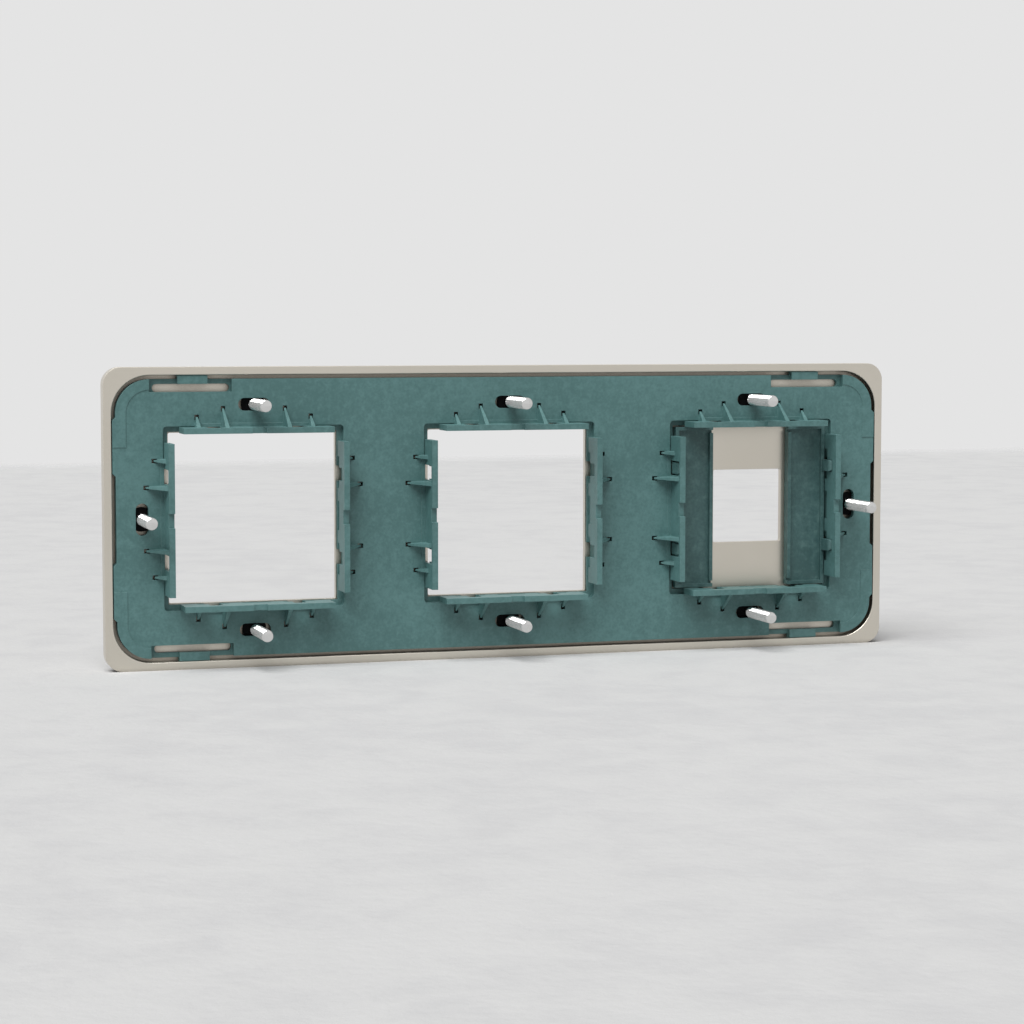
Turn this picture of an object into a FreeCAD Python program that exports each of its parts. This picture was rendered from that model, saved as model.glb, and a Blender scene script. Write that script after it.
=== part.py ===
"""Modular switch frame: a face plate over a moulded carrier for 45 mm modules.

Frame: origin on the wall plane at the middle of the frame, +X along the row of gangs,
+Y into the wall, +Z up. The face looks along -Y. All lengths are in millimetres.
"""
import FreeCAD, Part
import os
from FreeCAD import Vector

# The row of gangs
gang_pitch = 71.0
gang_count = 3
module_size = 45.0
module_clearance = 0.1
fixing_offset = 7.5
fixing_border = 10.0

# Face plate
plate_thickness = 4.5
face_thickness = 1.5
plate_corner_radius = 4.7
plate_edge_radius = 0.6
rim_width = 2.15
rim_edge_radius = 0.3
recess_corner_radius = 10.0
opening_corner_radius = 0.5
narrow_opening = 20.5

# Carrier flange and skirt
flange_thickness = 1.6
seat_clearance = 0.05
edge_gap = 1.05
pad_clearance = 0.2
pad_start = 10.7
pad_end = 27.5
skirt_thickness = 1.3
land_width = 2.75
land_depth = 0.15
land_start = 19.0

# Snap walls round each module bay
wall_height = 7.5
wall_thickness = 1.55
wall_end_gap = 2.4
wall_slit = 0.2
bay_corner_radius = 1.0
ring_thickness = 1.25
lip_inset = 0.3
lip_thickness = 0.95
web_thickness = 0.75
ledge_width = 0.95
ledge_height = 0.2
notch_width = 3.8
notch_depth = 1.2
foot_pad_inner = 3.95
foot_pad_width = 3.45
foot_recess_height = 1.6

# Snap windows through the walls
window_centre = 11.25
window_width = 4.1
window_height = 6.5
latch_width = 3.4
latch_height = 5.0

# Gussets behind the walls
gusset_root_thickness = 1.15
gusset_foot_thickness = 0.5
long_gusset_offset = 8.34
long_gusset_reach = 4.85
long_gusset_height = 6.4
short_gusset_offset = 15.35
short_gusset_reach = 2.65
short_gusset_height = 3.1
foot_hole_width = 1.2
foot_hole_length = 1.5
foot_hole_overlap = 0.9

# Spring clips along the long edges
clip_inset = 23.65
clip_pocket_shift = 0.55
clip_pocket_length = 22.0
clip_pocket_depth = 2.0
clip_slot_shift = 0.2
clip_slot_length = 20.6
clip_slot_width = 2.1
clip_boss_margin = 0.8
tab_width = 8.0
tab_drop = 0.4
tab_clearance = 0.1
catch_depth = 1.35
catch_reach = 0.5
catch_flat = 0.5
catch_ramp = 1.0
catch_clearance = 0.1

# Fixing screws, their washers and their slots
slot_length = 8.5
slot_width = 3.4
neck_diameter = 2.3
shank_diameter = 3.2
shank_start = 0.4
shank_reach = 15.5
tip_chamfer = 0.4
head_diameter = 6.5
drive_depth = 0.55
drive_width = 0.8
drive_span = 3.6
washer_thickness = 0.3
washer_bore_clearance = 0.05
screw_play = 0.05

# Half-module blanks in the narrowed bay
blank_inner = 11.4
blank_clearance = 0.1
blank_wall = 0.95
blank_rim_drop = 0.3
blank_tray_depth = 1.2
blank_floor = 0.8
blank_notch = 0.8
finger_thickness = 0.8
hook_reach = 1.4
hook_foot = 0.3
hook_corner_radius = 0.9
hook_clearance = 0.1

# Sizes that follow from those above
gang_row = (gang_count - 1) * gang_pitch
fixing_spacing = module_size + 2 * fixing_offset
plate_height = fixing_spacing + 2 * fixing_border
plate_length = gang_row + plate_height
recess_depth = plate_thickness - face_thickness
recess_half_x = plate_length / 2 - rim_width
recess_half_z = plate_height / 2 - rim_width
carrier_half_x = recess_half_x - edge_gap
carrier_half_z = recess_half_z - edge_gap
carrier_corner_radius = recess_corner_radius - edge_gap
carrier_front = -(recess_depth - seat_clearance)
wall_inner = module_size / 2 + module_clearance
wall_outer = wall_inner + wall_thickness
wall_length = module_size - 2 * wall_end_gap
web_inner = wall_outer - web_thickness
bay_half = wall_outer + wall_slit
lip_half = wall_inner + lip_inset
ring_half = bay_half + ring_thickness
lip_rear = carrier_front + lip_thickness
bridge_half = short_gusset_offset + gusset_root_thickness / 2
clip_x = plate_length / 2 - clip_inset
pocket_x = clip_x + clip_pocket_shift
washer_front = -(flange_thickness + screw_play + washer_thickness)
head_rear = washer_front - screw_play
head_front = -(recess_depth - screw_play)
gang_centres = [gang_row / 2 - index * gang_pitch for index in range(gang_count)]
narrow_gang = gang_centres[-1]


def block(x0, x1, y0, y1, z0, z1):
    """A plain block between two corners."""
    return Part.makeBox(x1 - x0, y1 - y0, z1 - z0, Vector(x0, y0, z0))


def rounded_prism(half_x, half_z, radius, y0, y1, centre=0.0):
    """A rectangle with round corners, pushed along Y."""
    body = block(centre - half_x, centre + half_x, y0, y1, -half_z, half_z)
    corners = [edge for edge in body.Edges if is_along_y(edge)]
    return body.makeFillet(radius, corners)


def is_along_y(edge):
    """True for a straight edge that runs along Y."""
    first, last = edge.Vertexes[0].Point, edge.Vertexes[-1].Point
    return abs(first.x - last.x) < 1e-6 and abs(first.z - last.z) < 1e-6


def slot_prism(length, width, y0, y1, centre_x, centre_z, upright=False):
    """A slot with round ends, pushed along Y."""
    radius = width / 2
    straight = length / 2 - radius
    middle = block(-straight, straight, y0, y1, -radius, radius)
    ends = [
        Part.makeCylinder(radius, y1 - y0, Vector(side * straight, y0, 0), Vector(0, 1, 0))
        for side in (-1, 1)
    ]
    slot = middle.multiFuse(ends).removeSplitter()
    if upright:
        slot.rotate(Vector(0, 0, 0), Vector(0, 1, 0), 90)
    slot.translate(Vector(centre_x, 0, centre_z))
    return slot


def profile_along_x(points, x0, x1):
    """A closed outline of (y, z) points, pushed along X."""
    corners = [Vector(x0, y, z) for y, z in points]
    face = Part.Face(Part.makePolygon(corners + corners[:1]))
    return face.extrude(Vector(x1 - x0, 0, 0))


def both_sides(shape):
    """The shape and its mirror image across the middle plane X = 0."""
    return [shape, shape.mirror(Vector(0, 0, 0), Vector(1, 0, 0))]


def four_corners(shape):
    """The shape mirrored across X = 0 and Z = 0."""
    return [
        copy
        for half in both_sides(shape)
        for copy in (half, half.mirror(Vector(0, 0, 0), Vector(0, 0, 1)))
    ]


def around_bay(shape, centre):
    """Four turned copies of a shape made for the bay's top side."""
    copies = []
    for quarter in range(4):
        copy = shape.copy()
        copy.rotate(Vector(0, 0, 0), Vector(0, 1, 0), 90 * quarter)
        copy.translate(Vector(centre, 0, 0))
        copies.append(copy)
    return copies


def make_face_plate():
    """The metal plate: front face, raised rim, openings and the undercuts that the clips catch."""
    half_x = plate_length / 2
    half_z = plate_height / 2
    body = rounded_prism(half_x, half_z, plate_corner_radius, -plate_thickness, 0)
    front_edges = [edge for edge in body.Edges if edge.BoundBox.YMax < -plate_thickness + 1e-6]
    body = body.makeFillet(plate_edge_radius, front_edges)
    body = body.cut(
        rounded_prism(recess_half_x, recess_half_z, recess_corner_radius, -recess_depth, 1)
    )
    body = body.makeFillet(rim_edge_radius, recess_mouth(body))
    cuts = []
    for centre in gang_centres:
        half = narrow_opening / 2 if centre == narrow_gang else wall_inner
        cuts.append(
            rounded_prism(half, half, opening_corner_radius, -plate_thickness - 1, 1, centre)
        )
    cuts += four_corners(clip_undercut())
    return body.cut(cuts).removeSplitter()


def recess_mouth(body):
    """The edges where the rim's rear face turns into the recess."""
    return [
        edge for edge in body.Edges
        if edge.BoundBox.YMin > -1e-6
        and abs(edge.CenterOfMass.x) < recess_half_x + 1e-3
        and abs(edge.CenterOfMass.z) < recess_half_z + 1e-3
    ]


def clip_undercut():
    """The pocket in the rim that one spring tab catches in."""
    half = tab_width / 2 + catch_clearance
    outer = recess_half_z + catch_reach + catch_clearance
    rear = -catch_depth + catch_clearance
    return block(clip_x - half, clip_x + half, -recess_depth, rear, recess_half_z - 1, outer)


def carrier_plate():
    """The carrier's flange with its skirt, side pads and the rings round its bays."""
    flange = rounded_prism(
        carrier_half_x, carrier_half_z, carrier_corner_radius, carrier_front, 0
    )
    hollow = rounded_prism(
        carrier_half_x - skirt_thickness,
        carrier_half_z - skirt_thickness,
        carrier_corner_radius - skirt_thickness,
        carrier_front - 1,
        -flange_thickness,
    )
    shell = flange.cut(hollow)
    rings = [
        block(centre - ring_half, centre + ring_half, carrier_front, 0, -ring_half, ring_half)
        for centre in gang_centres
    ]
    plate = shell.multiFuse(rings + four_corners(side_pad()) + four_corners(clip_boss()))
    return plate.cut(land_relief())


def side_pad():
    """One of the pads that centre the carrier between the plate's end rims."""
    outer = recess_half_x - pad_clearance
    root = carrier_half_x - skirt_thickness / 2
    slope = outer - root
    points = [(root, pad_start), (outer, pad_start + slope), (outer, pad_end - slope), (root, pad_end)]
    corners = [Vector(x, carrier_front, z) for x, z in points]
    face = Part.Face(Part.makePolygon(corners + corners[:1]))
    return face.extrude(Vector(0, -carrier_front, 0))


def clip_boss():
    """The thicker bed under one clip pocket, top right."""
    half = clip_pocket_length / 2 + clip_boss_margin
    inner = carrier_half_z - skirt_thickness - clip_slot_width - clip_boss_margin
    return block(
        pocket_x - half, pocket_x + half, carrier_front, -flange_thickness / 2,
        inner, carrier_half_z - skirt_thickness / 2,
    )


def corner_land():
    """The raised land that runs round the top right corner of the flange."""
    outer = block(
        pocket_x + clip_pocket_length / 2, plate_length / 2, -1, 2, land_start, plate_height / 2
    )
    side = block(
        carrier_half_x - land_width, plate_length / 2, -1, 2, land_start, plate_height / 2
    )
    inner = rounded_prism(
        carrier_half_x - land_width,
        carrier_half_z - land_width,
        carrier_corner_radius - land_width,
        -2,
        3,
    )
    return outer.fuse(side).cut(inner)


def land_relief():
    """What is taken off the flange's rear face everywhere but on the corner lands."""
    slab = block(
        -plate_length / 2, plate_length / 2, -land_depth, 1, -plate_height / 2, plate_height / 2
    )
    return slab.cut(four_corners(corner_land()))


def bay_cut(centre):
    """The opening of one bay: wide at the rear, with a lip left at the front."""
    wide = rounded_prism(bay_half, bay_half, bay_corner_radius, lip_rear, 1, centre)
    through = block(
        centre - lip_half, centre + lip_half, carrier_front - 1, 1, -lip_half, lip_half
    )
    return [wide, through]


def snap_wall():
    """The top wall of a bay centred on the origin, with its web, ledge and gussets."""
    half = wall_length / 2
    wall = block(-half, half, 0, wall_height, wall_inner, wall_outer)
    web = block(-bridge_half, bridge_half, lip_rear, 0, web_inner, bay_half)
    pieces = [web, root_ledge()] + gussets()
    solid = wall.multiFuse(pieces)
    return solid.cut(wall_cuts())


def root_ledge():
    """The low step between the flange and the wall, between the outer gussets."""
    return block(
        -bridge_half, bridge_half, -flange_thickness / 2, ledge_height,
        wall_outer, wall_outer + ledge_width,
    )


def gussets():
    """The four gussets that stiffen one wall: triangles that thin towards the foot."""
    made = []
    for offset, reach, height in gusset_places():
        root = wall_outer
        foot = wall_outer + reach
        bed = -flange_thickness / 2
        points = [(bed, root), (bed, foot), (-land_depth, foot), (height, root)]
        triangle = profile_along_x(
            points, offset - gusset_root_thickness, offset + gusset_root_thickness
        )
        made.append(triangle.common(gusset_plan(offset, root, foot)))
    return made


def gusset_plan(offset, root, foot):
    """The tapered plan of one gusset, pushed through the whole wall height."""
    wide = gusset_root_thickness / 2
    narrow = gusset_foot_thickness / 2
    points = [
        (offset - wide, root), (offset + wide, root),
        (offset + narrow, foot), (offset - narrow, foot),
    ]
    corners = [Vector(x, carrier_front, z) for x, z in points]
    face = Part.Face(Part.makePolygon(corners + corners[:1]))
    return face.extrude(Vector(0, wall_height - carrier_front, 0))


def gusset_places():
    """Offset along the wall, reach and height of each gusset."""
    places = []
    for side in (-1, 1):
        places.append((side * long_gusset_offset, long_gusset_reach, long_gusset_height))
        places.append((side * short_gusset_offset, short_gusset_reach, short_gusset_height))
    return places


def wall_cuts():
    """The notch, undercuts and snap windows of one wall."""
    cuts = [
        block(
            -notch_width / 2, notch_width / 2,
            wall_height - notch_depth, wall_height + 1,
            wall_inner - 1, wall_outer + 1,
        ),
        foot_recess(-foot_pad_inner, foot_pad_inner),
    ]
    far = foot_pad_inner + foot_pad_width
    for side in (-1, 1):
        near_end, far_end = sorted((side * far, side * bridge_half))
        cuts.append(foot_recess(near_end, far_end))
        middle = side * window_centre
        cuts.append(
            block(
                middle - window_width / 2, middle + window_width / 2,
                lip_rear, window_height,
                web_inner, wall_outer,
            )
        )
        cuts.append(
            block(
                middle - latch_width / 2, middle + latch_width / 2,
                -1, latch_height,
                wall_inner - 1, web_inner,
            )
        )
    return cuts


def foot_recess(x0, x1):
    """An undercut under the wall's inner half, between two places along it."""
    return block(x0, x1, -1, foot_recess_height, wall_inner - 1, web_inner)


def plan_cuts():
    """The window shut-offs through the flange at the top side of a bay."""
    cuts = []
    for side in (-1, 1):
        middle = side * window_centre
        half = window_width / 2
        cuts.append(
            block(middle - half, middle + half, carrier_front - 1, 0, wall_inner, wall_outer)
        )
    return cuts


def foot_holes():
    """The holes through the flange that the gussets' feet reach into, at the top side of a bay."""
    half = foot_hole_width / 2
    holes = []
    for offset, reach, _ in gusset_places():
        start = wall_outer + reach - foot_hole_overlap
        holes.append(
            block(offset - half, offset + half, carrier_front - 1, 1, start, start + foot_hole_length)
        )
    return holes


def slot_places():
    """Middle of each fixing slot as (name, x, z, upright)."""
    reach = fixing_spacing / 2
    places = []
    for index, centre in enumerate(gang_centres):
        places.append((f"gang_{index + 1}_top", centre, reach, False))
        places.append((f"gang_{index + 1}_bottom", centre, -reach, False))
    places.append(("gang_1_side", gang_centres[0] + reach, 0.0, True))
    places.append((f"gang_{gang_count}_side", narrow_gang - reach, 0.0, True))
    return places


def fixing_slots():
    """The slots that the fixing screws pass through."""
    return [
        slot_prism(slot_length, slot_width, carrier_front - 1, 1, x, z, upright)
        for _, x, z, upright in slot_places()
    ]


def clip_cuts():
    """The pocket and through slot that free one spring beam, top right."""
    slot_outer = carrier_half_z - skirt_thickness
    slot_inner = slot_outer - clip_slot_width
    pocket = block(
        pocket_x - clip_pocket_length / 2, pocket_x + clip_pocket_length / 2,
        -clip_pocket_depth, 1,
        slot_inner, carrier_half_z + 1,
    )
    slot = slot_prism(
        clip_slot_length, clip_slot_width, carrier_front - 1, 1,
        clip_x + clip_slot_shift, (slot_inner + slot_outer) / 2,
    )
    return [pocket, slot]


def spring_tab():
    """The tab on one spring beam, with the hook that catches under the rim."""
    inner = carrier_half_z - skirt_thickness
    outer = recess_half_z - tab_clearance
    hook = recess_half_z + catch_reach
    points = [
        (-tab_drop, inner),
        (-tab_drop, outer),
        (-catch_depth, outer),
        (-catch_depth, hook),
        (-catch_depth - catch_flat, hook),
        (-catch_depth - catch_flat - catch_ramp, outer),
        (carrier_front, outer - catch_reach),
        (carrier_front, inner),
    ]
    return profile_along_x(points, clip_x - tab_width / 2, clip_x + tab_width / 2)


def make_carrier():
    """The moulded carrier in one piece."""
    body = carrier_plate()
    cuts = []
    for centre in gang_centres:
        cuts += bay_cut(centre)
        for hole in foot_holes():
            cuts += around_bay(hole, centre)
    body = body.cut(cuts)
    walls = []
    holes = []
    for centre in gang_centres:
        walls += around_bay(snap_wall(), centre)
        for cut in plan_cuts():
            holes += around_bay(cut, centre)
    body = body.multiFuse(walls)
    holes += fixing_slots()
    for cut in clip_cuts():
        holes += four_corners(cut)
    body = body.cut(holes)
    body = body.multiFuse(four_corners(spring_tab()))
    return body.removeSplitter()


def make_blank():
    """The half-module blank on the +X side of a bay centred on the origin."""
    outer = module_size / 2 + module_clearance - blank_clearance
    end = outer
    rear = -blank_rim_drop
    tray_top = rear - blank_tray_depth
    front = carrier_front
    body = block(blank_inner, outer, front, rear, -end, end)
    tray = block(
        blank_inner + blank_wall, outer - blank_wall, tray_top, 1,
        -end + blank_wall, end - blank_wall,
    )
    under = block(
        blank_inner + blank_wall, outer - blank_wall, front - 1, tray_top - blank_floor,
        -end + blank_wall, end - blank_wall,
    )
    body = body.cut([tray, under] + blank_notches(end, rear))
    fingers = [blank_finger(outer, side) for side in (-1, 1)]
    return body.multiFuse(fingers).removeSplitter()


def blank_notches(end, rear):
    """The small notches where the inner wall meets the end walls."""
    cuts = []
    for side in (-1, 1):
        z0, z1 = sorted((side * (end - blank_wall), side * (end - blank_wall - blank_notch)))
        cuts.append(
            block(blank_inner - 1, blank_inner + blank_wall + 0.5,
                  rear - blank_tray_depth, 1, z0, z1)
        )
    return cuts


def blank_finger(outer, side):
    """One snap finger with its round hook in a wall's snap window."""
    half = latch_width / 2 - hook_clearance
    middle = side * window_centre
    top = latch_height - hook_clearance
    radius = (finger_thickness + hook_reach) / 2
    inner = outer - finger_thickness
    blade = block(
        inner, outer, -blank_rim_drop - blank_tray_depth, top - radius,
        middle - half, middle + half,
    )
    hook = block(
        inner, outer + hook_reach, hook_foot, top - radius, middle - half, middle + half
    )
    bead = Part.makeCylinder(
        radius, 2 * half, Vector(inner + radius, top - radius, middle - half), Vector(0, 0, 1)
    )
    solid = blade.multiFuse([hook, bead])
    return solid.common(finger_outline(inner, top, middle, half))


def finger_outline(inner, top, middle, half):
    """A snap finger's outline with its two round corners, pushed along X."""
    body = block(inner - 1, inner + 4, -recess_depth, top, middle - half, middle + half)
    corners = [
        edge for edge in body.Edges
        if edge.BoundBox.XLength > 1 and edge.BoundBox.YMin > top - 1e-6
    ]
    return body.makeFillet(hook_corner_radius, corners)


def make_blanks():
    """Both blanks of the narrowed bay, by node name."""
    right = make_blank()
    left = right.mirror(Vector(0, 0, 0), Vector(1, 0, 0))
    shapes = {"blank_inner_side": right, "blank_outer_side": left}
    for shape in shapes.values():
        shape.translate(Vector(narrow_gang, 0, 0))
    return shapes


def make_screw():
    """A captive fixing screw on the Y axis: head, thin neck and shank, with a cross drive."""
    neck = neck_diameter / 2
    shank = shank_diameter / 2
    head = head_diameter / 2
    points = [
        (0, head_front),
        (head, head_front),
        (head, head_rear),
        (neck, head_rear),
        (neck, shank_start),
        (shank, shank_start + shank - neck),
        (shank, shank_reach - tip_chamfer),
        (shank - tip_chamfer, shank_reach),
        (0, shank_reach),
    ]
    corners = [Vector(x, y, 0) for x, y in points]
    face = Part.Face(Part.makePolygon(corners + corners[:1]))
    body = face.revolve(Vector(0, 0, 0), Vector(0, 1, 0), 360)
    arm = block(
        -drive_span / 2, drive_span / 2, head_front - 1, head_front + drive_depth,
        -drive_width / 2, drive_width / 2,
    )
    cross = arm.copy()
    cross.rotate(Vector(0, 0, 0), Vector(0, 1, 0), 90)
    return body.cut([arm, cross])


def make_washer():
    """A retaining washer on the Y axis, round the screw's neck."""
    along = Vector(0, 1, 0)
    start = Vector(0, washer_front, 0)
    bore = neck_diameter / 2 + washer_bore_clearance
    disc = Part.makeCylinder(head_diameter / 2, washer_thickness, start, along)
    hole = Part.makeCylinder(bore, washer_thickness, start, along)
    return disc.cut(hole)


def placed(shape, x, z):
    """A copy moved to a fixing slot."""
    copy = shape.copy()
    copy.translate(Vector(x, 0, z))
    return copy


def make_nodes():
    """Every node's shape by name."""
    nodes = {"face_plate": make_face_plate(), "carrier": make_carrier()}
    nodes.update(make_blanks())
    screw = make_screw()
    washer = make_washer()
    for name, x, z, _ in slot_places():
        nodes[f"screw_{name}"] = placed(screw, x, z)
        nodes[f"washer_{name}"] = placed(washer, x, z)
    return nodes


os.makedirs("parts", exist_ok=True)
for node, shape in make_nodes().items():
    shape.exportStep(f"parts/{node}.step")
    box = shape.BoundBox
    print(node, shape.isValid(), len(shape.Solids), round(shape.Volume, 1),
          [round(v, 2) for v in (box.XMin, box.XMax, box.YMin, box.YMax, box.ZMin, box.ZMax)])
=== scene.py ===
"""Looks for the modular switch frame: its finishes, the studio, the light and the camera."""
import logging
import math
from collections.abc import Iterator
from contextlib import contextmanager
from dataclasses import dataclass
from enum import Enum
from functools import cached_property
from typing import Any, Union

import bpy
from mathutils import Matrix, Vector


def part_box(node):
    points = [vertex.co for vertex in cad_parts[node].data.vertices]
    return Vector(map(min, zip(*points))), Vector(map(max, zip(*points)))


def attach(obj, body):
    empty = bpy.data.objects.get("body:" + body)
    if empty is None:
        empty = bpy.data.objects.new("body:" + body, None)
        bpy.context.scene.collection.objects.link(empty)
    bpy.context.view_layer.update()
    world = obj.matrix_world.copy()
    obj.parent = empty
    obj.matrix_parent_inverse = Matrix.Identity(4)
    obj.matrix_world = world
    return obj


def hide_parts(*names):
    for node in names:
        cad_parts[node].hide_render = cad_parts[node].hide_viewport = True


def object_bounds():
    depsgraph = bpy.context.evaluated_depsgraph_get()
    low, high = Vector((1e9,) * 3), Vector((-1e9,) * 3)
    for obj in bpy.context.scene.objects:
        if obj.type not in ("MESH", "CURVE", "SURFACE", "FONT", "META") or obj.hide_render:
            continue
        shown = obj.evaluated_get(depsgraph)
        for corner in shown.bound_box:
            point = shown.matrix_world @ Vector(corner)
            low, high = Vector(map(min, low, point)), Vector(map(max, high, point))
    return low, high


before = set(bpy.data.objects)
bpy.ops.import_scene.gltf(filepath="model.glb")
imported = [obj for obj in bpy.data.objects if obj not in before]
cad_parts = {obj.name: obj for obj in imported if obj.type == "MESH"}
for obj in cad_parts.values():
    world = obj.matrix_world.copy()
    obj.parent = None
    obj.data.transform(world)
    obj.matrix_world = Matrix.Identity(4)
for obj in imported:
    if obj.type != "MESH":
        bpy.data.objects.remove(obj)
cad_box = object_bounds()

log = logging.getLogger("switch_frame")

Colour = tuple[float, float, float]
Triple = tuple[float, float, float]
Span = tuple[float, float]
Outline = list[tuple[float, float]]
Operand = Union["Value", float]
Shade = Union[bpy.types.NodeSocket, Colour]
Feed = Union["Value", bpy.types.NodeSocket, Triple, float]

# Lengths in metres
MM = 0.001
WELD = 0.002 * MM

# Plain settings of colours and patterns
WHITE: Colour = (1.0, 1.0, 1.0)
EVEN: Triple = (1.0, 1.0, 1.0)
UNIT: Span = (0.0, 1.0)
PATTERN_MIDDLE = 0.5

# Degrees in a quarter of a turn
QUARTER_TURN = 90.0

# The Mix node's colour sockets, which share their names with others and so go by number
MIX_FACTOR = 0
MIX_FIRST = 6
MIX_SECOND = 7
MIX_RESULT = 2

# How the finishes find edges, and the narrow gaps where they paint shade
EDGE_SAMPLES = 4
EDGE_RAMP: Span = (0.02, 0.22)
PAINTED_SHADE_SAMPLES = 6
PAINTED_SHADE_RAMP: Span = (0.40, 0.60)


class Side(Enum):
    """Where a fixing screw stands in its gang."""

    TOP = "top"
    BOTTOM = "bottom"
    SIDE = "side"


class Work(Enum):
    """What a tool solid does to a piece."""

    JOIN = "UNION"
    CUT = "DIFFERENCE"
    TRIM = "INTERSECT"


class Picked(Enum):
    """What is selected when a piece is opened in edit mode."""

    ALL = "SELECT"
    NONE = "DESELECT"
    AS_SET = "as set in code"


class Value:
    """A number socket that takes part in Python expressions.

    Args:
        graph: The graph that the socket belongs to.
        socket: The output socket.
    """

    def __init__(self, graph: "Graph", socket: bpy.types.NodeSocket) -> None:
        """Keeps the graph and the socket."""
        self.graph = graph
        self.socket = socket

    def _math(self, operation: str, *terms: Operand) -> "Value":
        """Adds a Math node for one operation.

        Args:
            operation: The Math node's operation.
            terms: The numbers or values it works on.

        Returns:
            The result as a value.
        """
        node = self.graph.add("ShaderNodeMath", {"operation": operation}, dict(enumerate(terms)))
        return Value(self.graph, node.outputs[0])

    def __add__(self, other: Operand) -> "Value":
        """Returns the sum."""
        return self._math("ADD", self, other)

    def __sub__(self, other: Operand) -> "Value":
        """Returns the difference."""
        return self._math("SUBTRACT", self, other)

    def __rsub__(self, other: Operand) -> "Value":
        """Returns the reflected difference."""
        return self._math("SUBTRACT", other, self)

    def __mul__(self, other: Operand) -> "Value":
        """Returns the product."""
        return self._math("MULTIPLY", self, other)

    __radd__ = __add__
    __rmul__ = __mul__

    def most(self, other: Operand) -> "Value":
        """Returns the larger of two values."""
        return self._math("MAXIMUM", self, other)

    def clamp(self, limits: Span = UNIT) -> "Value":
        """Returns the value held between two limits."""
        return self._math("MINIMUM", self.most(limits[0]), limits[1])

    def swing(self, strength: float) -> "Value":
        """Returns a pattern's rise and fall about its middle, times a strength."""
        return (self - PATTERN_MIDDLE) * strength

    def step(self, ramp: Span) -> "Value":
        """Ramps smoothly from 0 to 1.

        Args:
            ramp: The values at which the ramp begins and is full.

        Returns:
            The ramp as a value.
        """
        node = self.graph.add(
            "ShaderNodeMapRange",
            {"interpolation_type": "SMOOTHSTEP"},
            {"Value": self, "From Min": ramp[0], "From Max": ramp[1]},
        )
        return Value(self.graph, node.outputs["Result"])


@dataclass(frozen=True)
class Pattern:
    """The settings of one noise pattern.

    Args:
        scale: Features per metre.
        detail: Octaves.
        rough: How strong the fine octaves are.
        stretch: Scale along each axis.
        warp: Distortion.
    """

    scale: float
    detail: float
    rough: float
    stretch: Triple = EVEN
    warp: float = 0.0


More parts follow.
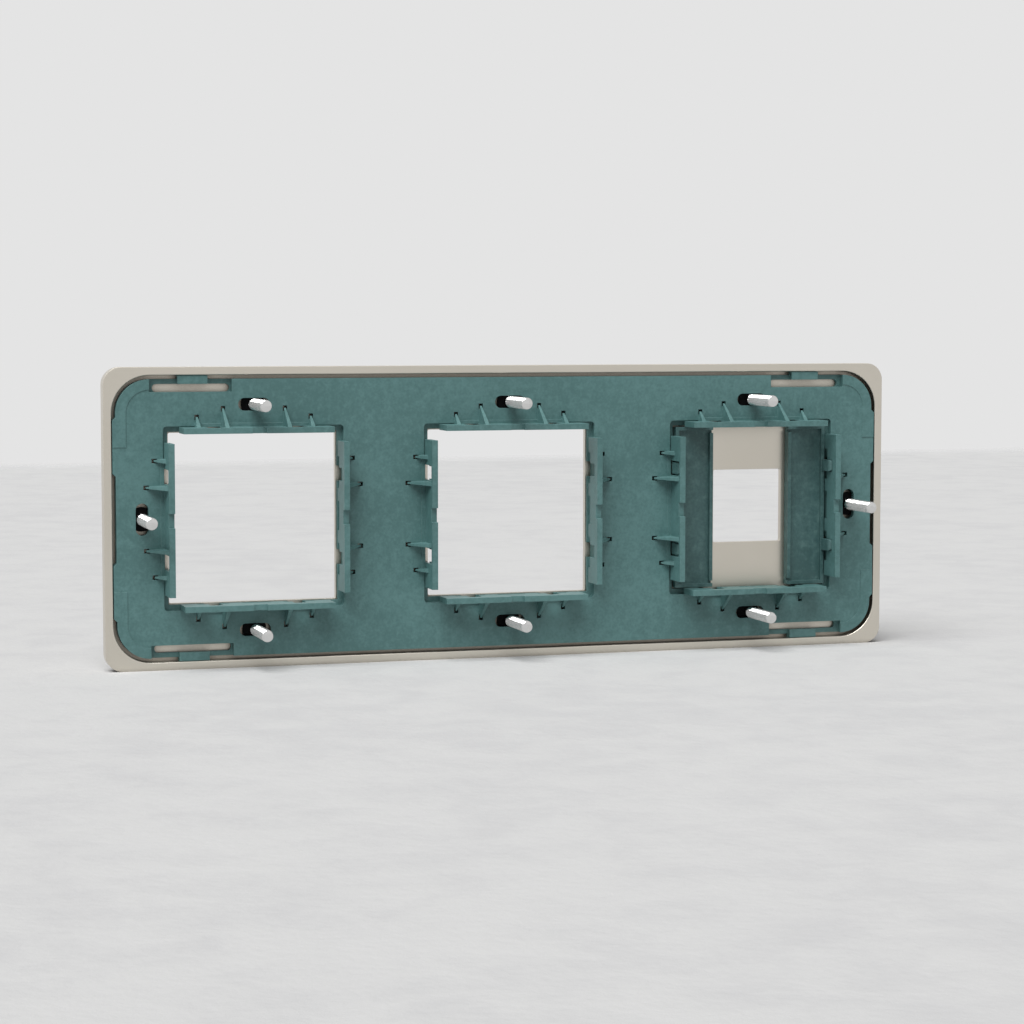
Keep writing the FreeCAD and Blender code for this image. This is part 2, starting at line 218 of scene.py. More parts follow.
class Graph:
    """A material's or the world's node graph, empty at first.

    Args:
        owner: The material or the world.
    """

    def __init__(self, owner: bpy.types.Material | bpy.types.World) -> None:
        """Turns the owner's nodes on and clears them.

        Args:
            owner: The material or the world.
        """
        owner.use_nodes = True
        self.owner = owner
        self.tree = owner.node_tree
        self.tree.nodes.clear()

    @cached_property
    def place(self) -> bpy.types.NodeSocket:
        """Object coordinates, from one node that all patterns share."""
        return self.add("ShaderNodeTexCoord").outputs["Object"]

    def add(
        self,
        kind: str,
        settings: dict[str, Any] | None = None,
        inputs: dict[str | int, Feed] | None = None,
    ) -> bpy.types.Node:
        """Adds one node.

        Args:
            kind: The node's type.
            settings: Its settings, such as an operation, which are set first.
            inputs: Its sockets' numbers, colours or links, by name or index.

        Returns:
            The node.
        """
        node = self.tree.nodes.new(kind)
        for key, value in (settings or {}).items():
            setattr(node, key, value)
        for key, value in (inputs or {}).items():
            self._feed(node.inputs[key], value)
        return node

    def _feed(self, socket: bpy.types.NodeSocket, value: Feed) -> None:
        """Links a value or sets a constant on a socket.

        Args:
            socket: The input socket.
            value: A value, an output socket, a colour, a vector or a number.
        """
        if isinstance(value, Value):
            self.tree.links.new(value.socket, socket)
        elif isinstance(value, bpy.types.NodeSocket):
            self.tree.links.new(value, socket)
        elif isinstance(value, tuple) and socket.type == "RGBA":
            socket.default_value = (*value, 1.0)
        else:
            socket.default_value = value

    def noise(self, pattern: Pattern) -> Value:
        """Makes a noise pattern in metres.

        Args:
            pattern: Its settings.

        Returns:
            The pattern between 0 and 1.
        """
        stretched = {"Vector": self.place, "Scale": pattern.stretch}
        mapping = self.add("ShaderNodeMapping", inputs=stretched)
        node = self.add(
            "ShaderNodeTexNoise",
            inputs={
                "Vector": mapping.outputs[0],
                "Scale": pattern.scale,
                "Detail": pattern.detail,
                "Roughness": pattern.rough,
                "Distortion": pattern.warp,
            },
        )
        return Value(self, node.outputs[0])

    def mix(self, factor: Operand, first: Shade, second: Shade) -> bpy.types.NodeSocket:
        """Mixes two colours.

        Args:
            factor: How much of the second colour shows.
            first: A colour or a colour socket.
            second: A colour or a colour socket.

        Returns:
            The mixed colour's socket.
        """
        inputs = {MIX_FACTOR: factor, MIX_FIRST: first, MIX_SECOND: second}
        node = self.add("ShaderNodeMix", {"data_type": "RGBA"}, inputs)
        return node.outputs[MIX_RESULT]

    def bump(
        self,
        height: Value,
        distance: float,
        normal: bpy.types.NodeSocket | None = None,
    ) -> bpy.types.NodeSocket:
        """Turns a height pattern into a normal.

        Args:
            height: The pattern.
            distance: The full height in metres.
            normal: A normal to start from.

        Returns:
            The normal's socket.
        """
        inputs = {"Strength": 1.0, "Distance": distance, "Height": height}
        if normal is not None:
            inputs["Normal"] = normal
        return self.add("ShaderNodeBump", inputs=inputs).outputs[0]

    def soft_edges(self, radius: float) -> tuple[bpy.types.NodeSocket, Value]:
        """Rounds the shading at edges and finds where they are.

        Args:
            radius: The edge radius in metres.

        Returns:
            The rounded normal, and a mask that is 1 on the edges.
        """
        bevel = self.add("ShaderNodeBevel", {"samples": EDGE_SAMPLES}, {"Radius": radius})
        plain = self.add("ShaderNodeNewGeometry").outputs["True Normal"]
        rounded = bevel.outputs[0]
        dot = self.add("ShaderNodeVectorMath", {"operation": "DOT_PRODUCT"}, {0: rounded, 1: plain})
        mask = (1.0 - Value(self, dot.outputs["Value"])).step(EDGE_RAMP)
        return rounded, mask

    def gap_shade_mask(self, reach: float) -> Value:
        """Finds narrow gaps by ambient occlusion, as a mask for painting shade where little light comes
        in.

        Args:
            reach: How near a neighbouring surface darkens the place, in metres.

        Returns:
            A painted-shade mask that is 1 deep in a gap.
        """
        settings = {"samples": PAINTED_SHADE_SAMPLES}
        node = self.add("ShaderNodeAmbientOcclusion", settings, {"Distance": reach})
        return (1.0 - Value(self, node.outputs["AO"])).step(PAINTED_SHADE_RAMP)

    def finish(self, **sockets: Feed) -> bpy.types.Material:
        """Ends a material's graph in a Principled shader.

        Args:
            sockets: The shader's sockets by name, with underscores for spaces.

        Returns:
            The material.
        """
        inputs = {name.replace("_", " "): value for name, value in sockets.items()}
        shader = self.add("ShaderNodeBsdfPrincipled", inputs=inputs)
        self.add("ShaderNodeOutputMaterial", inputs={"Surface": shader.outputs[0]})
        return self.owner


@dataclass(frozen=True)
class MouldedPlastic:
    """Spark-textured moulding with slightly polished, paler edges, whose paling is partly wear and partly
    a painted highlight.

    Args:
        name: The material's name.
        base: The plastic's colour.
        pale: The colour of the flecks and of the edges, which on the edges is partly rubbed wear and
            partly a painted highlight.
        deep: The colour of the darker mottle.
        roughness: The middle roughness.
        grain: Height of the spark texture in metres.
        edge: Radius of the moulded edges in metres.
        gloss: The plastic's specular level.
        index: The plastic's index of refraction.
        flow: The wide flow marks.
        mottle: The mottle.
        spark: The finest spark texture.
        grit: The coarser grit of the tool.
        flow_share: Share of the flow marks in the shade.
        mottle_share: Share of the mottle in the shade.
        grit_share: Share of the grit in the shade.
        shade_ramp: Where the shade turns from deep to base.
        fleck: How strongly the fine flecks show.
        fleck_ramp: Where in the mottle the flecks start and are full.
        edge_wear_and_highlight: How strongly the edges turn pale, partly as rubbed wear and partly as a
            painted highlight.
        mottle_haze: How far the mottle moves the roughness.
        spark_haze: How far the spark texture moves the roughness.
        edge_polish: How much smoother the edges are.
        rough_limits: The least and the greatest roughness.
        pit_ramp: Where in the grit the pits start and are full.
        spark_height: Share of the spark texture in the relief.
        mottle_height: Share of the mottle in the relief.
        pit_depth: Share of the pits in the relief.
    """

    name: str
    base: Colour
    pale: Colour
    deep: Colour
    roughness: float = 0.48
    grain: float = 0.01 * MM
    edge: float = 0.15 * MM
    gloss: float = 0.5
    index: float = 1.5
    flow: Pattern = Pattern(scale=22.0, detail=3.0, rough=0.55, stretch=(1.0, 2.0, 1.6), warp=0.4)
    mottle: Pattern = Pattern(scale=420.0, detail=4.0, rough=0.62)
    spark: Pattern = Pattern(scale=3600.0, detail=3.0, rough=0.6)
    grit: Pattern = Pattern(scale=1300.0, detail=3.0, rough=0.65)
    flow_share: float = 0.4
    mottle_share: float = 0.3
    grit_share: float = 0.3
    shade_ramp: Span = (0.40, 0.60)
    fleck: float = 0.10
    fleck_ramp: Span = (0.5, 0.75)
    edge_wear_and_highlight: float = 0.34
    mottle_haze: float = 0.16
    spark_haze: float = 0.10
    edge_polish: float = 0.10
    rough_limits: Span = (0.2, 0.9)
    pit_ramp: Span = (0.60, 0.78)
    spark_height: float = 0.8
    mottle_height: float = 0.9
    pit_depth: float = 0.5

    def make(self) -> bpy.types.Material:
        """Builds the material.

        Returns:
            The material.
        """
        graph = Graph(bpy.data.materials.new(self.name))
        rounded, edges = graph.soft_edges(self.edge)
        flow = graph.noise(self.flow)
        mottle = graph.noise(self.mottle)
        spark = graph.noise(self.spark)
        grit = graph.noise(self.grit)
        shade = flow * self.flow_share + mottle * self.mottle_share + grit * self.grit_share
        colour = graph.mix(shade.step(self.shade_ramp), self.deep, self.base)
        # Pale flecks are the plastic's own tone; the pale edges are partly rubbed wear and partly a
        # painted highlight
        worn = (mottle.step(self.fleck_ramp) * self.fleck + edges * self.edge_wear_and_highlight).clamp()
        colour = graph.mix(worn, colour, self.pale)
        rough = self.roughness + mottle.swing(self.mottle_haze) + spark.swing(self.spark_haze)
        rough = (rough - edges * self.edge_polish).clamp(self.rough_limits)
        pits = grit.step(self.pit_ramp)
        height = spark * self.spark_height + mottle * self.mottle_height - pits * self.pit_depth
        return graph.finish(
            Base_Color=colour,
            Roughness=rough,
            Normal=graph.bump(height, self.grain, rounded),
            Specular_IOR_Level=self.gloss,
            IOR=self.index,
        )


@dataclass(frozen=True)
class SatinMetal:
    """Fine satin metal with a champagne tint, painted shade in narrow gaps and edges that are partly
    polished and partly a painted highlight.

    Args:
        name: The material's name.
        base: The metal's colour.
        warm: The warmer tint in its large variation.
        bright: The paler colour of the specks and of the edges, where it is partly polished wear and
            partly a painted highlight.
        painted_gap_shade: The colour in narrow gaps.
        roughness: The middle roughness.
        grain: Height of the blasted texture in metres.
        edge: Radius of the edges in metres.
        gap_shade_reach: Width of the gaps that the painted shade darkens, in metres.
        cloud: The large variation.
        blast: The blasted texture.
        speck: The fine specks.
        cloud_ramp: Where the tint turns from base to warm.
        speck_ramp: Where the bright specks start and are full.
        edge_polish_and_highlight: How strongly the edges turn bright, partly as polished wear and partly
            as a painted highlight.
        speck_shine: How strongly the specks turn bright.
        cloud_haze: How far the large variation moves the roughness.
        speck_haze: How far the specks move the roughness.
        edge_haze: How much rougher the edges are.
        rough_limits: The least and the greatest roughness.
        speck_height: Share of the specks in the relief.
    """

    name: str
    base: Colour
    warm: Colour
    bright: Colour
    painted_gap_shade: Colour
    roughness: float = 0.34
    grain: float = 0.004 * MM
    edge: float = 0.2 * MM
    gap_shade_reach: float = 2.5 * MM
    cloud: Pattern = Pattern(scale=14.0, detail=3.0, rough=0.5, stretch=(1.0, 1.0, 1.8), warp=0.3)
    blast: Pattern = Pattern(scale=5200.0, detail=2.0, rough=0.55)
    speck: Pattern = Pattern(scale=1400.0, detail=3.0, rough=0.6)
    cloud_ramp: Span = (0.35, 0.68)
    speck_ramp: Span = (0.62, 0.8)
    edge_polish_and_highlight: float = 0.25
    speck_shine: float = 0.12
    cloud_haze: float = 0.10
    speck_haze: float = 0.14
    edge_haze: float = 0.28
    rough_limits: Span = (0.15, 0.8)
    speck_height: float = 0.6

    def make(self) -> bpy.types.Material:
        """Builds the material.

        Returns:
            The material.
        """
        graph = Graph(bpy.data.materials.new(self.name))
        rounded, edges = graph.soft_edges(self.edge)
        cloud = graph.noise(self.cloud)
        blast = graph.noise(self.blast)
        speck = graph.noise(self.speck)
        colour = graph.mix(cloud.step(self.cloud_ramp), self.base, self.warm)
        # Paler edges: partly polished wear, partly a painted highlight; the specks are the metal's own
        # tone
        edge_highlight_and_specks = (edges * self.edge_polish_and_highlight + speck.step(self.speck_ramp) * self.speck_shine).clamp()
        colour = graph.mix(edge_highlight_and_specks, colour, self.bright)
        # Painted shade: the colour darkens in narrow gaps found by ambient occlusion
        colour = graph.mix(graph.gap_shade_mask(self.gap_shade_reach), colour, self.painted_gap_shade)
        rough = self.roughness + cloud.swing(self.cloud_haze) + speck.swing(self.speck_haze)
        rough = (rough + edges * self.edge_haze).clamp(self.rough_limits)
        return graph.finish(
            Base_Color=colour,
            Metallic=1.0,
            Roughness=rough,
            Normal=graph.bump(blast + speck * self.speck_height, self.grain, rounded),
        )


@dataclass(frozen=True)
class BrightPlating:
    """Bright plated steel with fine turning marks round the screw's axis.

    Args:
        name: The material's name.
        base: The plating's colour.
        dull: The colour of rubbed places.
        roughness: The roughness where nothing dulls it.
        groove: Height of the turning marks in metres.
        edge: Radius of the edges in metres.
        turning: The turning marks.
        haze: The dull haze.
        scuff: The scuffs along the screw.
        haze_ramp: Where the haze starts and is full.
        scuff_ramp: Where the scuffs start and are full.
        haze_tint: How strongly the haze dulls the colour.
        scuff_tint: How strongly the scuffs dull the colour.
        haze_rough: How much rougher the haze is.
        scuff_rough: How much rougher the scuffs are.
        edge_rough: How much rougher the edges are.
        rough_limits: The least and the greatest roughness.
    """

    name: str
    base: Colour
    dull: Colour
    roughness: float = 0.07
    groove: float = 0.0015 * MM
    edge: float = 0.15 * MM
    turning: Pattern = Pattern(scale=2600.0, detail=3.0, rough=0.6, stretch=(0.04, 1.0, 0.04))
    haze: Pattern = Pattern(scale=700.0, detail=3.0, rough=0.55)
    scuff: Pattern = Pattern(scale=1800.0, detail=2.0, rough=0.5, stretch=(1.0, 0.25, 1.0))
    haze_ramp: Span = (0.5, 0.8)
    scuff_ramp: Span = (0.62, 0.75)
    haze_tint: float = 0.35
    scuff_tint: float = 0.25
    haze_rough: float = 0.08
    scuff_rough: float = 0.12
    edge_rough: float = 0.05
    rough_limits: Span = (0.05, 0.6)

    def make(self) -> bpy.types.Material:
        """Builds the material.

        Returns:
            The material.
        """
        graph = Graph(bpy.data.materials.new(self.name))
        rounded, edges = graph.soft_edges(self.edge)
        turning = graph.noise(self.turning)
        haze = graph.noise(self.haze)
        scuff = graph.noise(self.scuff).step(self.scuff_ramp)
        worn = (haze.step(self.haze_ramp) * self.haze_tint + scuff * self.scuff_tint).clamp()
        rough = self.roughness + haze * self.haze_rough + scuff * self.scuff_rough
        rough = (rough + edges * self.edge_rough).clamp(self.rough_limits)
        return graph.finish(
            Base_Color=graph.mix(worn, self.base, self.dull),
            Metallic=1.0,
            Roughness=rough,
            Normal=graph.bump(turning, self.groove, rounded),
        )


@dataclass(frozen=True)
class TroweledFloor:
    """Pale floor with faint troweled clouds.

    Args:
        name: The material's name.
        base: The floor's colour.
        dark: The colour of its darker clouds.
        end: Where the floor fades into the backdrop, along Y.
        blur: Half the length of that fade.
        roughness: The roughness.
        gloss: The specular level.
        relief: The full height of the relief in metres.
        cloud: The wide clouds.
        blotch: The trowel's blotches.
        sand: The sand.
        cloud_share: Share of the clouds in the shade.
        blotch_share: Share of the blotches in the shade.
        sand_share: Share of the sand in the shade.
        shade_ramp: Where the shade turns from dark to base.
        sand_height: Share of the sand in the relief.
    """

    name: str
    base: Colour
    dark: Colour
    end: float
    blur: float
    roughness: float = 0.9
    gloss: float = 0.2
    relief: float = 0.4 * MM
    cloud: Pattern = Pattern(scale=14.0, detail=3.0, rough=0.5, stretch=(1.0, 0.8, 1.0), warp=0.4)
    blotch: Pattern = Pattern(scale=62.0, detail=4.0, rough=0.55, warp=0.3)
    sand: Pattern = Pattern(scale=420.0, detail=4.0, rough=0.6)
    cloud_share: float = 0.25
    blotch_share: float = 0.6
    sand_share: float = 0.15
    shade_ramp: Span = (0.34, 0.60)
    sand_height: float = 0.4

    def make(self) -> bpy.types.Material:
        """Builds the material.

        Returns:
            The material.
        """
        graph = Graph(bpy.data.materials.new(self.name))
        cloud = graph.noise(self.cloud)
        blotch = graph.noise(self.blotch)
        sand = graph.noise(self.sand)
        shade = cloud * self.cloud_share + blotch * self.blotch_share + sand * self.sand_share
        along = graph.add("ShaderNodeSeparateXYZ", inputs={0: graph.place}).outputs["Y"]
        fade = (self.end - self.blur, self.end + self.blur)
        return graph.finish(
            Base_Color=graph.mix(shade.step(self.shade_ramp), self.dark, self.base),
            Roughness=self.roughness,
            Specular_IOR_Level=self.gloss,
            Alpha=Value(graph, along).step(fade),
            Normal=graph.bump(sand * self.sand_height + blotch, self.relief),
        )


def dress(node: str, material: bpy.types.Material) -> None:
    """Gives a CAD node its finish.

    Args:
        node: The node's name.
        material: Its material.
    """
    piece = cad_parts[node]
    piece.data.materials.clear()
    piece.data.materials.append(material)
    log.info("%s wears %s", node, material.name)


@dataclass
class Plate:
    """The metal face plate.

    Args:
        node: Its CAD node.
        finish: Its satin finish.
    """

    node: str = "face_plate"
    finish: SatinMetal = SatinMetal(
        name="champagne_satin",
        base=(0.66, 0.62, 0.545),
        warm=(0.625, 0.585, 0.51),
        bright=(0.78, 0.74, 0.67),
        # Painted shade colour for the plate's narrow gaps
        painted_gap_shade=(0.25, 0.225, 0.19),
    )

    def build(self) -> None:
        """Dresses the plate."""
        dress(self.node, self.finish.make())


@dataclass
class Carrier:
    """The moulded carrier and the two blanks in its narrowed bay.

    Args:
        node: The carrier's CAD node.
        blanks: The blanks' CAD nodes.
        finish: The carrier's plastic.
        blank_shaded_finish: The blanks' plastic, a darker copy of the carrier's, whose darkness is
            painted shade for the recessed blanks.
    """

    node: str = "carrier"
    blanks: tuple[str, ...] = ("blank_inner_side", "blank_outer_side")
    finish: MouldedPlastic = MouldedPlastic(
        name="teal_moulding",
        base=(0.094, 0.204, 0.201),
        pale=(0.180, 0.33, 0.32),
        deep=(0.065, 0.153, 0.150),
    )
    # Painted shade: the blanks' darker teal stands for the shade that falls into them
    blank_shaded_finish: MouldedPlastic = MouldedPlastic(
        name="blank_moulding_painted_shade",
        base=(0.065, 0.142, 0.140),
        pale=(0.15, 0.26, 0.25),
        deep=(0.036, 0.092, 0.091),
        fleck=0.24,
    )

    def build(self) -> None:
        """Dresses the carrier and the blanks."""
        dress(self.node, self.finish.make())
        material = self.blank_shaded_finish.make()
        for blank in self.blanks:
            dress(blank, material)


def deselect() -> None:
    """Clears the selection, which the loaded nodes start with."""
    bpy.ops.object.select_all(action="DESELECT")


def pick(piece: bpy.types.Object) -> None:
    """Selects one piece alone and makes it the active one.

    Args:
        piece: The piece.
    """
    deselect()
    piece.select_set(True)
    bpy.context.view_layer.objects.active = piece


@contextmanager
def editing(picked: Picked) -> Iterator[None]:
    """Opens the active piece in edit mode, and closes it at the end.

    Args:
        picked: What is selected at the start.

    Yields:
        Nothing.
    """
    bpy.ops.object.mode_set(mode="EDIT")
    if picked is not Picked.AS_SET:
        bpy.ops.mesh.select_all(action=picked.value)
    yield
    bpy.ops.object.mode_set(mode="OBJECT")


def apply_modifier(piece: bpy.types.Object, name: str) -> None:
    """Applies one modifier of a piece.

    Args:
        piece: The piece.
        name: The modifier's name.
    """
    bpy.context.view_layer.objects.active = piece
    bpy.ops.object.modifier_apply(modifier=name)


def tidy_normals(piece: bpy.types.Object) -> None:
    """Merges doubled points and turns every face outward.

    Args:
        piece: The piece, which becomes the active one.
    """
    pick(piece)
    with editing(Picked.ALL):
        bpy.ops.mesh.remove_doubles(threshold=WELD)
        bpy.ops.mesh.normals_make_consistent(inside=False)


def open_chain(name: str, points: Outline) -> bpy.types.Object:
    """Draws a line through points in the plane Z = 0, its two ends left open.

    Args:
        name: The piece's name.
        points: Points as (radius, place along Y) in metres.

    Returns:
        The line as a piece with edges only.
    """
    deselect()
    bpy.ops.mesh.primitive_circle_add(vertices=len(points), fill_type="NOTHING")
    piece = bpy.context.object
    piece.name = name
    with editing(Picked.NONE):
        bpy.ops.mesh.select_mode(type="EDGE")
    closing = {0, len(points) - 1}
    for edge in piece.data.edges:
        edge.select = set(edge.vertices) == closing
    with editing(Picked.AS_SET):
        bpy.ops.mesh.delete(type="EDGE_FACE")
        bpy.ops.mesh.select_mode(type="VERT")
    for vertex, (radius, along) in zip(piece.data.vertices, points):
        vertex.co = Vector((radius, along, 0.0))
    return piece


def lathe(name: str, outline: Outline, steps: int) -> bpy.types.Object:
    """Turns an outline once round the Y axis.

    Args:
        name: The piece's name.
        outline: Points as (radius, place along Y) in metres, both ends on the axis.
        steps: Steps round the axis.

    Returns:
        The turned piece.
    """
    piece = open_chain(name, outline)
    with editing(Picked.ALL):
        bpy.ops.mesh.spin(steps=steps, angle=math.tau, center=(0, 0, 0), axis=(0, 1, 0), dupli=False)
    tidy_normals(piece)
    return piece


def combine(piece: bpy.types.Object, tool: bpy.types.Object, work: Work) -> None:
    """Joins, cuts or trims a piece with a tool solid, which is then deleted.

    Args:
        piece: The piece that is changed.
        tool: The other solid.
        work: What the tool does.
    """
    modifier = piece.modifiers.new(work.name.lower(), "BOOLEAN")
    modifier.operation = work.value
    modifier.solver = "EXACT"
    modifier.object = tool
    apply_modifier(piece, modifier.name)
    bpy.data.objects.remove(tool)


@dataclass(frozen=True)
class ThreadedScrew:
    """One captive fixing screw: cross-slotted head, thin neck and threaded shank.

    Args:
        crest: Radius over the thread in metres.
        depth: Depth of the thread.
        pitch: Rise of one turn.
        crest_flat: Width of the thread's crest.
        root_flat: Width of the flat between two turns.
        spare_turns: Turns wound past each end of the shank, which are trimmed off.
        neck: Radius of the plain neck.
        head: Radius of the head.
        head_front: Where the head starts along Y.
        head_rear: Where the head ends and the neck starts.
        head_edge: Chamfer round the head's front.
        start: Where the threaded shank starts.
        end: Where its tip is.
        tip_radius: Radius that rounds the tip.
        tip_steps: Steps round that radius.
        margin: How far a tool stands past, or the neck into, what it meets.
        drive_depth: Depth of the cross drive.
        drive_width: Width of the cross drive's arms.
        drive_span: Span of the cross drive's arms.
        steps: Steps round one turn.
        smooth_angle: Sharper edges than this, in degrees, stay sharp.
    """

    crest: float = 1.6 * MM
    depth: float = 0.22 * MM
    pitch: float = 0.6 * MM
    crest_flat: float = 0.2 * MM
    root_flat: float = 0.1 * MM
    spare_turns: int = 2
    neck: float = 1.15 * MM
    head: float = 3.25 * MM
    head_front: float = -2.95 * MM
    head_rear: float = -2.0 * MM
    head_edge: float = 0.12 * MM
    start: float = 0.4 * MM
    end: float = 15.5 * MM
    tip_radius: float = 0.5 * MM
    tip_steps: int = 4
    margin: float = 0.05 * MM
    drive_depth: float = 0.55 * MM
    drive_width: float = 0.8 * MM
    drive_span: float = 3.6 * MM
    steps: int = 28
    smooth_angle: float = 28.0

    def make(self) -> bpy.types.Object:
        """Models the whole screw on the Y axis.

        Returns:
            The finished screw.
        """
        shank = self.helix()
        combine(shank, self.envelope(), Work.TRIM)
        combine(shank, self.blank_head(), Work.JOIN)
        for turn in (0.0, math.radians(QUARTER_TURN)):
            combine(shank, self.drive_arm(turn), Work.CUT)
        pick(shank)
        bpy.ops.object.shade_smooth_by_angle(angle=math.radians(self.smooth_angle))
        log.info("screw modelled with %d faces", len(shank.data.polygons))
        return shank

    def helix(self) -> bpy.types.Object:
        """Winds one thread profile round the Y axis and closes it at both ends.

        Returns:
            The threaded bar, longer than the shank at both ends.
        """
        root = self.crest - self.depth
        low = self.start - self.spare_turns * self.pitch
        middle = low + (self.pitch + self.root_flat) / 2
        profile = [
            (root, low),
            (root, low + self.root_flat),
            (self.crest, middle - self.crest_flat / 2),
            (self.crest, middle + self.crest_flat / 2),
            (root, low + self.pitch),
        ]
        piece = open_chain("screw_thread", profile)
        winding = piece.modifiers.new("winding", "SCREW")
        winding.axis = "Y"
        winding.screw_offset = self.pitch
        winding.iterations = math.ceil((self.end - self.start) / self.pitch) + 2 * self.spare_turns
        winding.steps = self.steps
        winding.render_steps = self.steps
        apply_modifier(piece, winding.name)
        tidy_normals(piece)
        self.close_ends(piece)
        tidy_normals(piece)
        return piece

    def close_ends(self, piece: bpy.types.Object) -> None:
        """Fills the bar's two open ends and fans each filling out from its middle.

        Args:
            piece: The bar, open where its winding starts and ends.
        """
        with editing(Picked.ALL):
            bpy.ops.mesh.fill_holes(sides=0)
            bpy.ops.mesh.select_all(action="DESELECT")
            bpy.ops.mesh.select_mode(type="FACE")
        for face in piece.data.polygons:
            face.select = len(face.vertices) > self.steps
        with editing(Picked.AS_SET):
            bpy.ops.mesh.poke()
            bpy.ops.mesh.select_mode(type="VERT")

    def envelope(self) -> bpy.types.Object:
        """Turns the solid that trims the thread at the neck and at the tip.

        Returns:
            The trimming solid.
        """
        over = self.crest + self.margin
        rise = over - self.neck
        inside = over - self.tip_radius
        below = self.end - self.tip_radius
        outline = [(0.0, self.start), (self.neck, self.start), (over, self.start + rise)]
        for step in range(self.tip_steps + 1):
            turn = math.radians(QUARTER_TURN * step / self.tip_steps)
            outline.append((
                inside + self.tip_radius * math.cos(turn),
                below + self.tip_radius * math.sin(turn),
            ))
        outline.append((0.0, self.end))
        return lathe("screw_envelope", outline, self.steps * 2)

    def blank_head(self) -> bpy.types.Object:
        """Turns the head and the neck.

        Returns:
            The head with its neck, reaching a little into the shank.
        """
        outline = [
            (0.0, self.head_front),
            (self.head - self.head_edge, self.head_front),
            (self.head, self.head_front + self.head_edge),
            (self.head, self.head_rear),
            (self.neck, self.head_rear),
            (self.neck, self.start + self.margin),
            (0.0, self.start + self.margin),
        ]
        return lathe("screw_head", outline, self.steps * 2)

    def drive_arm(self, turn: float) -> bpy.types.Object:
        """Makes the cutter for one arm of the cross drive.

        Args:
            turn: Its turn about the Y axis in radians.

        Returns:
            The cutter.
        """
        deselect()
        bpy.ops.mesh.primitive_cube_add(size=1.0, location=(0, self.head_front, 0), rotation=(0, turn, 0))
        arm = bpy.context.object
        arm.scale = (self.drive_span, 2 * self.drive_depth, self.drive_width)
        bpy.ops.object.transform_apply(location=True, rotation=True, scale=True)
        return arm


@dataclass
class Fixings:
    """The fixing screws and their retaining washers.

    Args:
        gangs: How many gangs the frame has.
        screw: The screw that all of them share.
        screw_finish: The screws' plating.
        washer_finish: The washers' black plastic, made near-black and almost without gloss, which is
            partly painted shade in the dark slots.
    """

    gangs: int = 3
    screw: ThreadedScrew = ThreadedScrew()
    screw_finish: BrightPlating = BrightPlating(
        name="bright_plating",
        base=(0.72, 0.72, 0.71),
        dull=(0.50, 0.50, 0.49),
    )
    # Painted shade: the washers are darker and duller than real black plastic, so the slots read as
    # shaded holes
    washer_finish: MouldedPlastic = MouldedPlastic(
        name="black_washer_painted_shade",
        base=(0.0035, 0.0035, 0.004),
        pale=(0.014, 0.014, 0.014),
        deep=(0.002, 0.002, 0.0025),
        roughness=0.6,
        gloss=0.08,
    )

    def places(self) -> list[str]:
        """Lists the fixings.

        Returns:
            The name ending of each fixing.
        """
        ends = (1, self.gangs)
        return [
            f"gang_{gang}_{side.value}"
            for gang in range(1, self.gangs + 1)
            for side in Side
            if side is not Side.SIDE or gang in ends
        ]

    def build(self) -> None:
        """Stands a threaded screw in each slot and dresses the washers."""
        plating = self.screw_finish.make()
        black = self.washer_finish.make()
        model = self.screw.make()
        model.data.materials.append(plating)
        for place in self.places():
            self.stand(model, place)
            dress(f"washer_{place}", black)
        bpy.data.objects.remove(model)

    def stand(self, model: bpy.types.Object, place: str) -> None:
        """Copies the screw to the middle of the CAD screw that it replaces.

        Args:
            model: The modelled screw on the Y axis.
            place: The name ending of the fixing.
        """
        node = f"screw_{place}"
        low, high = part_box(node)
        piece = bpy.data.objects.new(f"threaded_{node}", model.data.copy())
        bpy.context.scene.collection.objects.link(piece)
        middle = Vector(((low[0] + high[0]) / 2, 0.0, (low[2] + high[2]) / 2))
        piece.data.transform(Matrix.Translation(middle))
        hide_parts(node)
        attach(piece, f"turn_{place}")
        log.info("%s stands at %.1f, %.1f mm", piece.name, middle.x / MM, middle.z / MM)


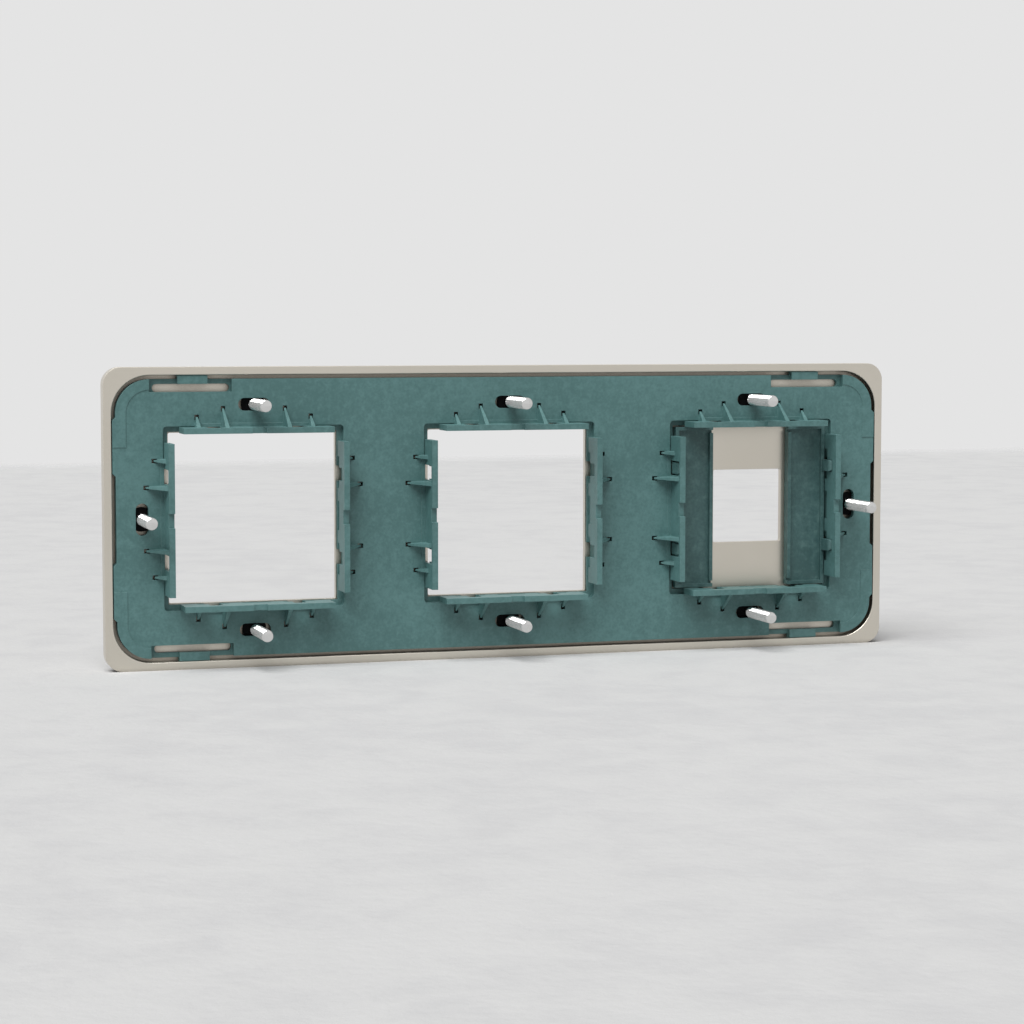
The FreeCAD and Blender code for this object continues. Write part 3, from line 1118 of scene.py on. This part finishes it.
@dataclass
class Studio:
    """Floor, backdrop colour, lamp and camera.

    Args:
        floor_level: Height of the floor, on which the frame's long edge stands.
        floor_half_width: Half the floor's width along X.
        floor_near: The floor's end on the camera's side, along Y.
        floor_far: Where the floor ends at the horizon, along Y.
        horizon_blur: Half the length over which it fades there.
        floor_colour: The floor's colour.
        floor_shade: The colour of its darker clouds.
        backdrop: The backdrop's colour.
        fill: Strength of the even light from all round.
        sun_power: Strength of the key lamp.
        sun_spread: Its angle, in degrees, which softens the shadows.
        sun_height: Its height over the horizon, in degrees.
        sun_side: Its turn from the Y axis towards X, in degrees.
        camera_place: Where the camera stands, in metres.
        camera_turn: The camera's rotation about X, Y and Z, in degrees.
        lens: The camera's focal length in millimetres.
        sensor: The camera's sensor width in millimetres.
    """

    floor_level: float = cad_box[0][2]
    floor_half_width: float = 2.4
    floor_near: float = 1.6
    floor_far: float = -0.97
    horizon_blur: float = 0.05
    floor_colour: Colour = (0.567, 0.567, 0.565)
    floor_shade: Colour = (0.527, 0.527, 0.53)
    backdrop: Colour = (0.776, 0.776, 0.776)
    fill: float = 0.2
    sun_power: float = 3.75
    sun_spread: float = 50.0
    sun_height: float = 60.0
    sun_side: float = 42.0
    camera_place: Triple = (210.859 * MM, 678.497 * MM, 52.683 * MM)
    camera_turn: Triple = (85.7488, -0.0261, 162.6991)
    lens: float = 91.521
    sensor: float = 36.0

    def build(self) -> None:
        """Builds the whole studio."""
        self.make_floor()
        self.make_world()
        self.make_lamp()
        self.make_camera()

    def make_floor(self) -> None:
        """Lays the floor the frame stands on, up to the photograph's horizon."""
        far = self.floor_far - self.horizon_blur
        middle = (0, (self.floor_near + far) / 2, self.floor_level)
        deselect()
        bpy.ops.mesh.primitive_plane_add(size=1.0, location=middle)
        floor = bpy.context.object
        floor.name = "floor"
        floor.scale = (2 * self.floor_half_width, self.floor_near - far, 1.0)
        bpy.ops.object.transform_apply(location=True, rotation=True, scale=True)
        finish = TroweledFloor(
            name="pale_floor",
            base=self.floor_colour,
            dark=self.floor_shade,
            end=self.floor_far,
            blur=self.horizon_blur,
        )
        floor.data.materials.append(finish.make())
        log.info("floor laid at %.3f m", self.floor_level)

    def make_world(self) -> None:
        """Lights the scene evenly and shows a pale backdrop to the camera and in reflections."""
        world = bpy.data.worlds.new("studio")
        bpy.context.scene.world = world
        graph = Graph(world)
        path = graph.add("ShaderNodeLightPath")
        camera, glossy, through = (
            Value(graph, path.outputs[ray])
            for ray in ("Is Camera Ray", "Is Glossy Ray", "Is Transmission Ray")
        )
        soft = graph.add("ShaderNodeBackground", inputs={"Color": WHITE, "Strength": self.fill})
        seen = graph.add("ShaderNodeBackground", inputs={"Color": self.backdrop, "Strength": 1.0})
        shows = camera.most(glossy).most(through)
        inputs = {0: shows, 1: soft.outputs[0], 2: seen.outputs[0]}
        light = graph.add("ShaderNodeMixShader", inputs=inputs)
        graph.add("ShaderNodeOutputWorld", inputs={"Surface": light.outputs[0]})

    def make_lamp(self) -> None:
        """Lights the frame softly from high up, on the camera's side and from the picture's left."""
        data = bpy.data.lights.new("key", "SUN")
        data.energy = self.sun_power
        data.angle = math.radians(self.sun_spread)
        lamp = bpy.data.objects.new("key", data)
        bpy.context.scene.collection.objects.link(lamp)
        height = math.radians(self.sun_height)
        side = math.radians(self.sun_side)
        level = math.cos(height)
        towards = Vector((level * math.sin(side), level * math.cos(side), math.sin(height)))
        lamp.rotation_euler = (-towards).to_track_quat("-Z", "Y").to_euler()

    def make_camera(self) -> None:
        """Sets the camera up at the photograph's viewpoint."""
        data = bpy.data.cameras.new("camera")
        data.lens = self.lens
        data.sensor_width = self.sensor
        camera = bpy.data.objects.new("camera", data)
        bpy.context.scene.collection.objects.link(camera)
        camera.location = self.camera_place
        camera.rotation_euler = [math.radians(angle) for angle in self.camera_turn]
        bpy.context.scene.camera = camera
        bpy.context.scene.view_settings.view_transform = "Standard"


def main() -> None:
    """Builds every piece in order."""
    logging.basicConfig(level=logging.INFO, format="%(name)s: %(message)s")
    for part in (Plate(), Carrier(), Fixings(), Studio()):
        part.build()
        log.info("%s done", type(part).__name__)


if __name__ == "__main__":
    main()
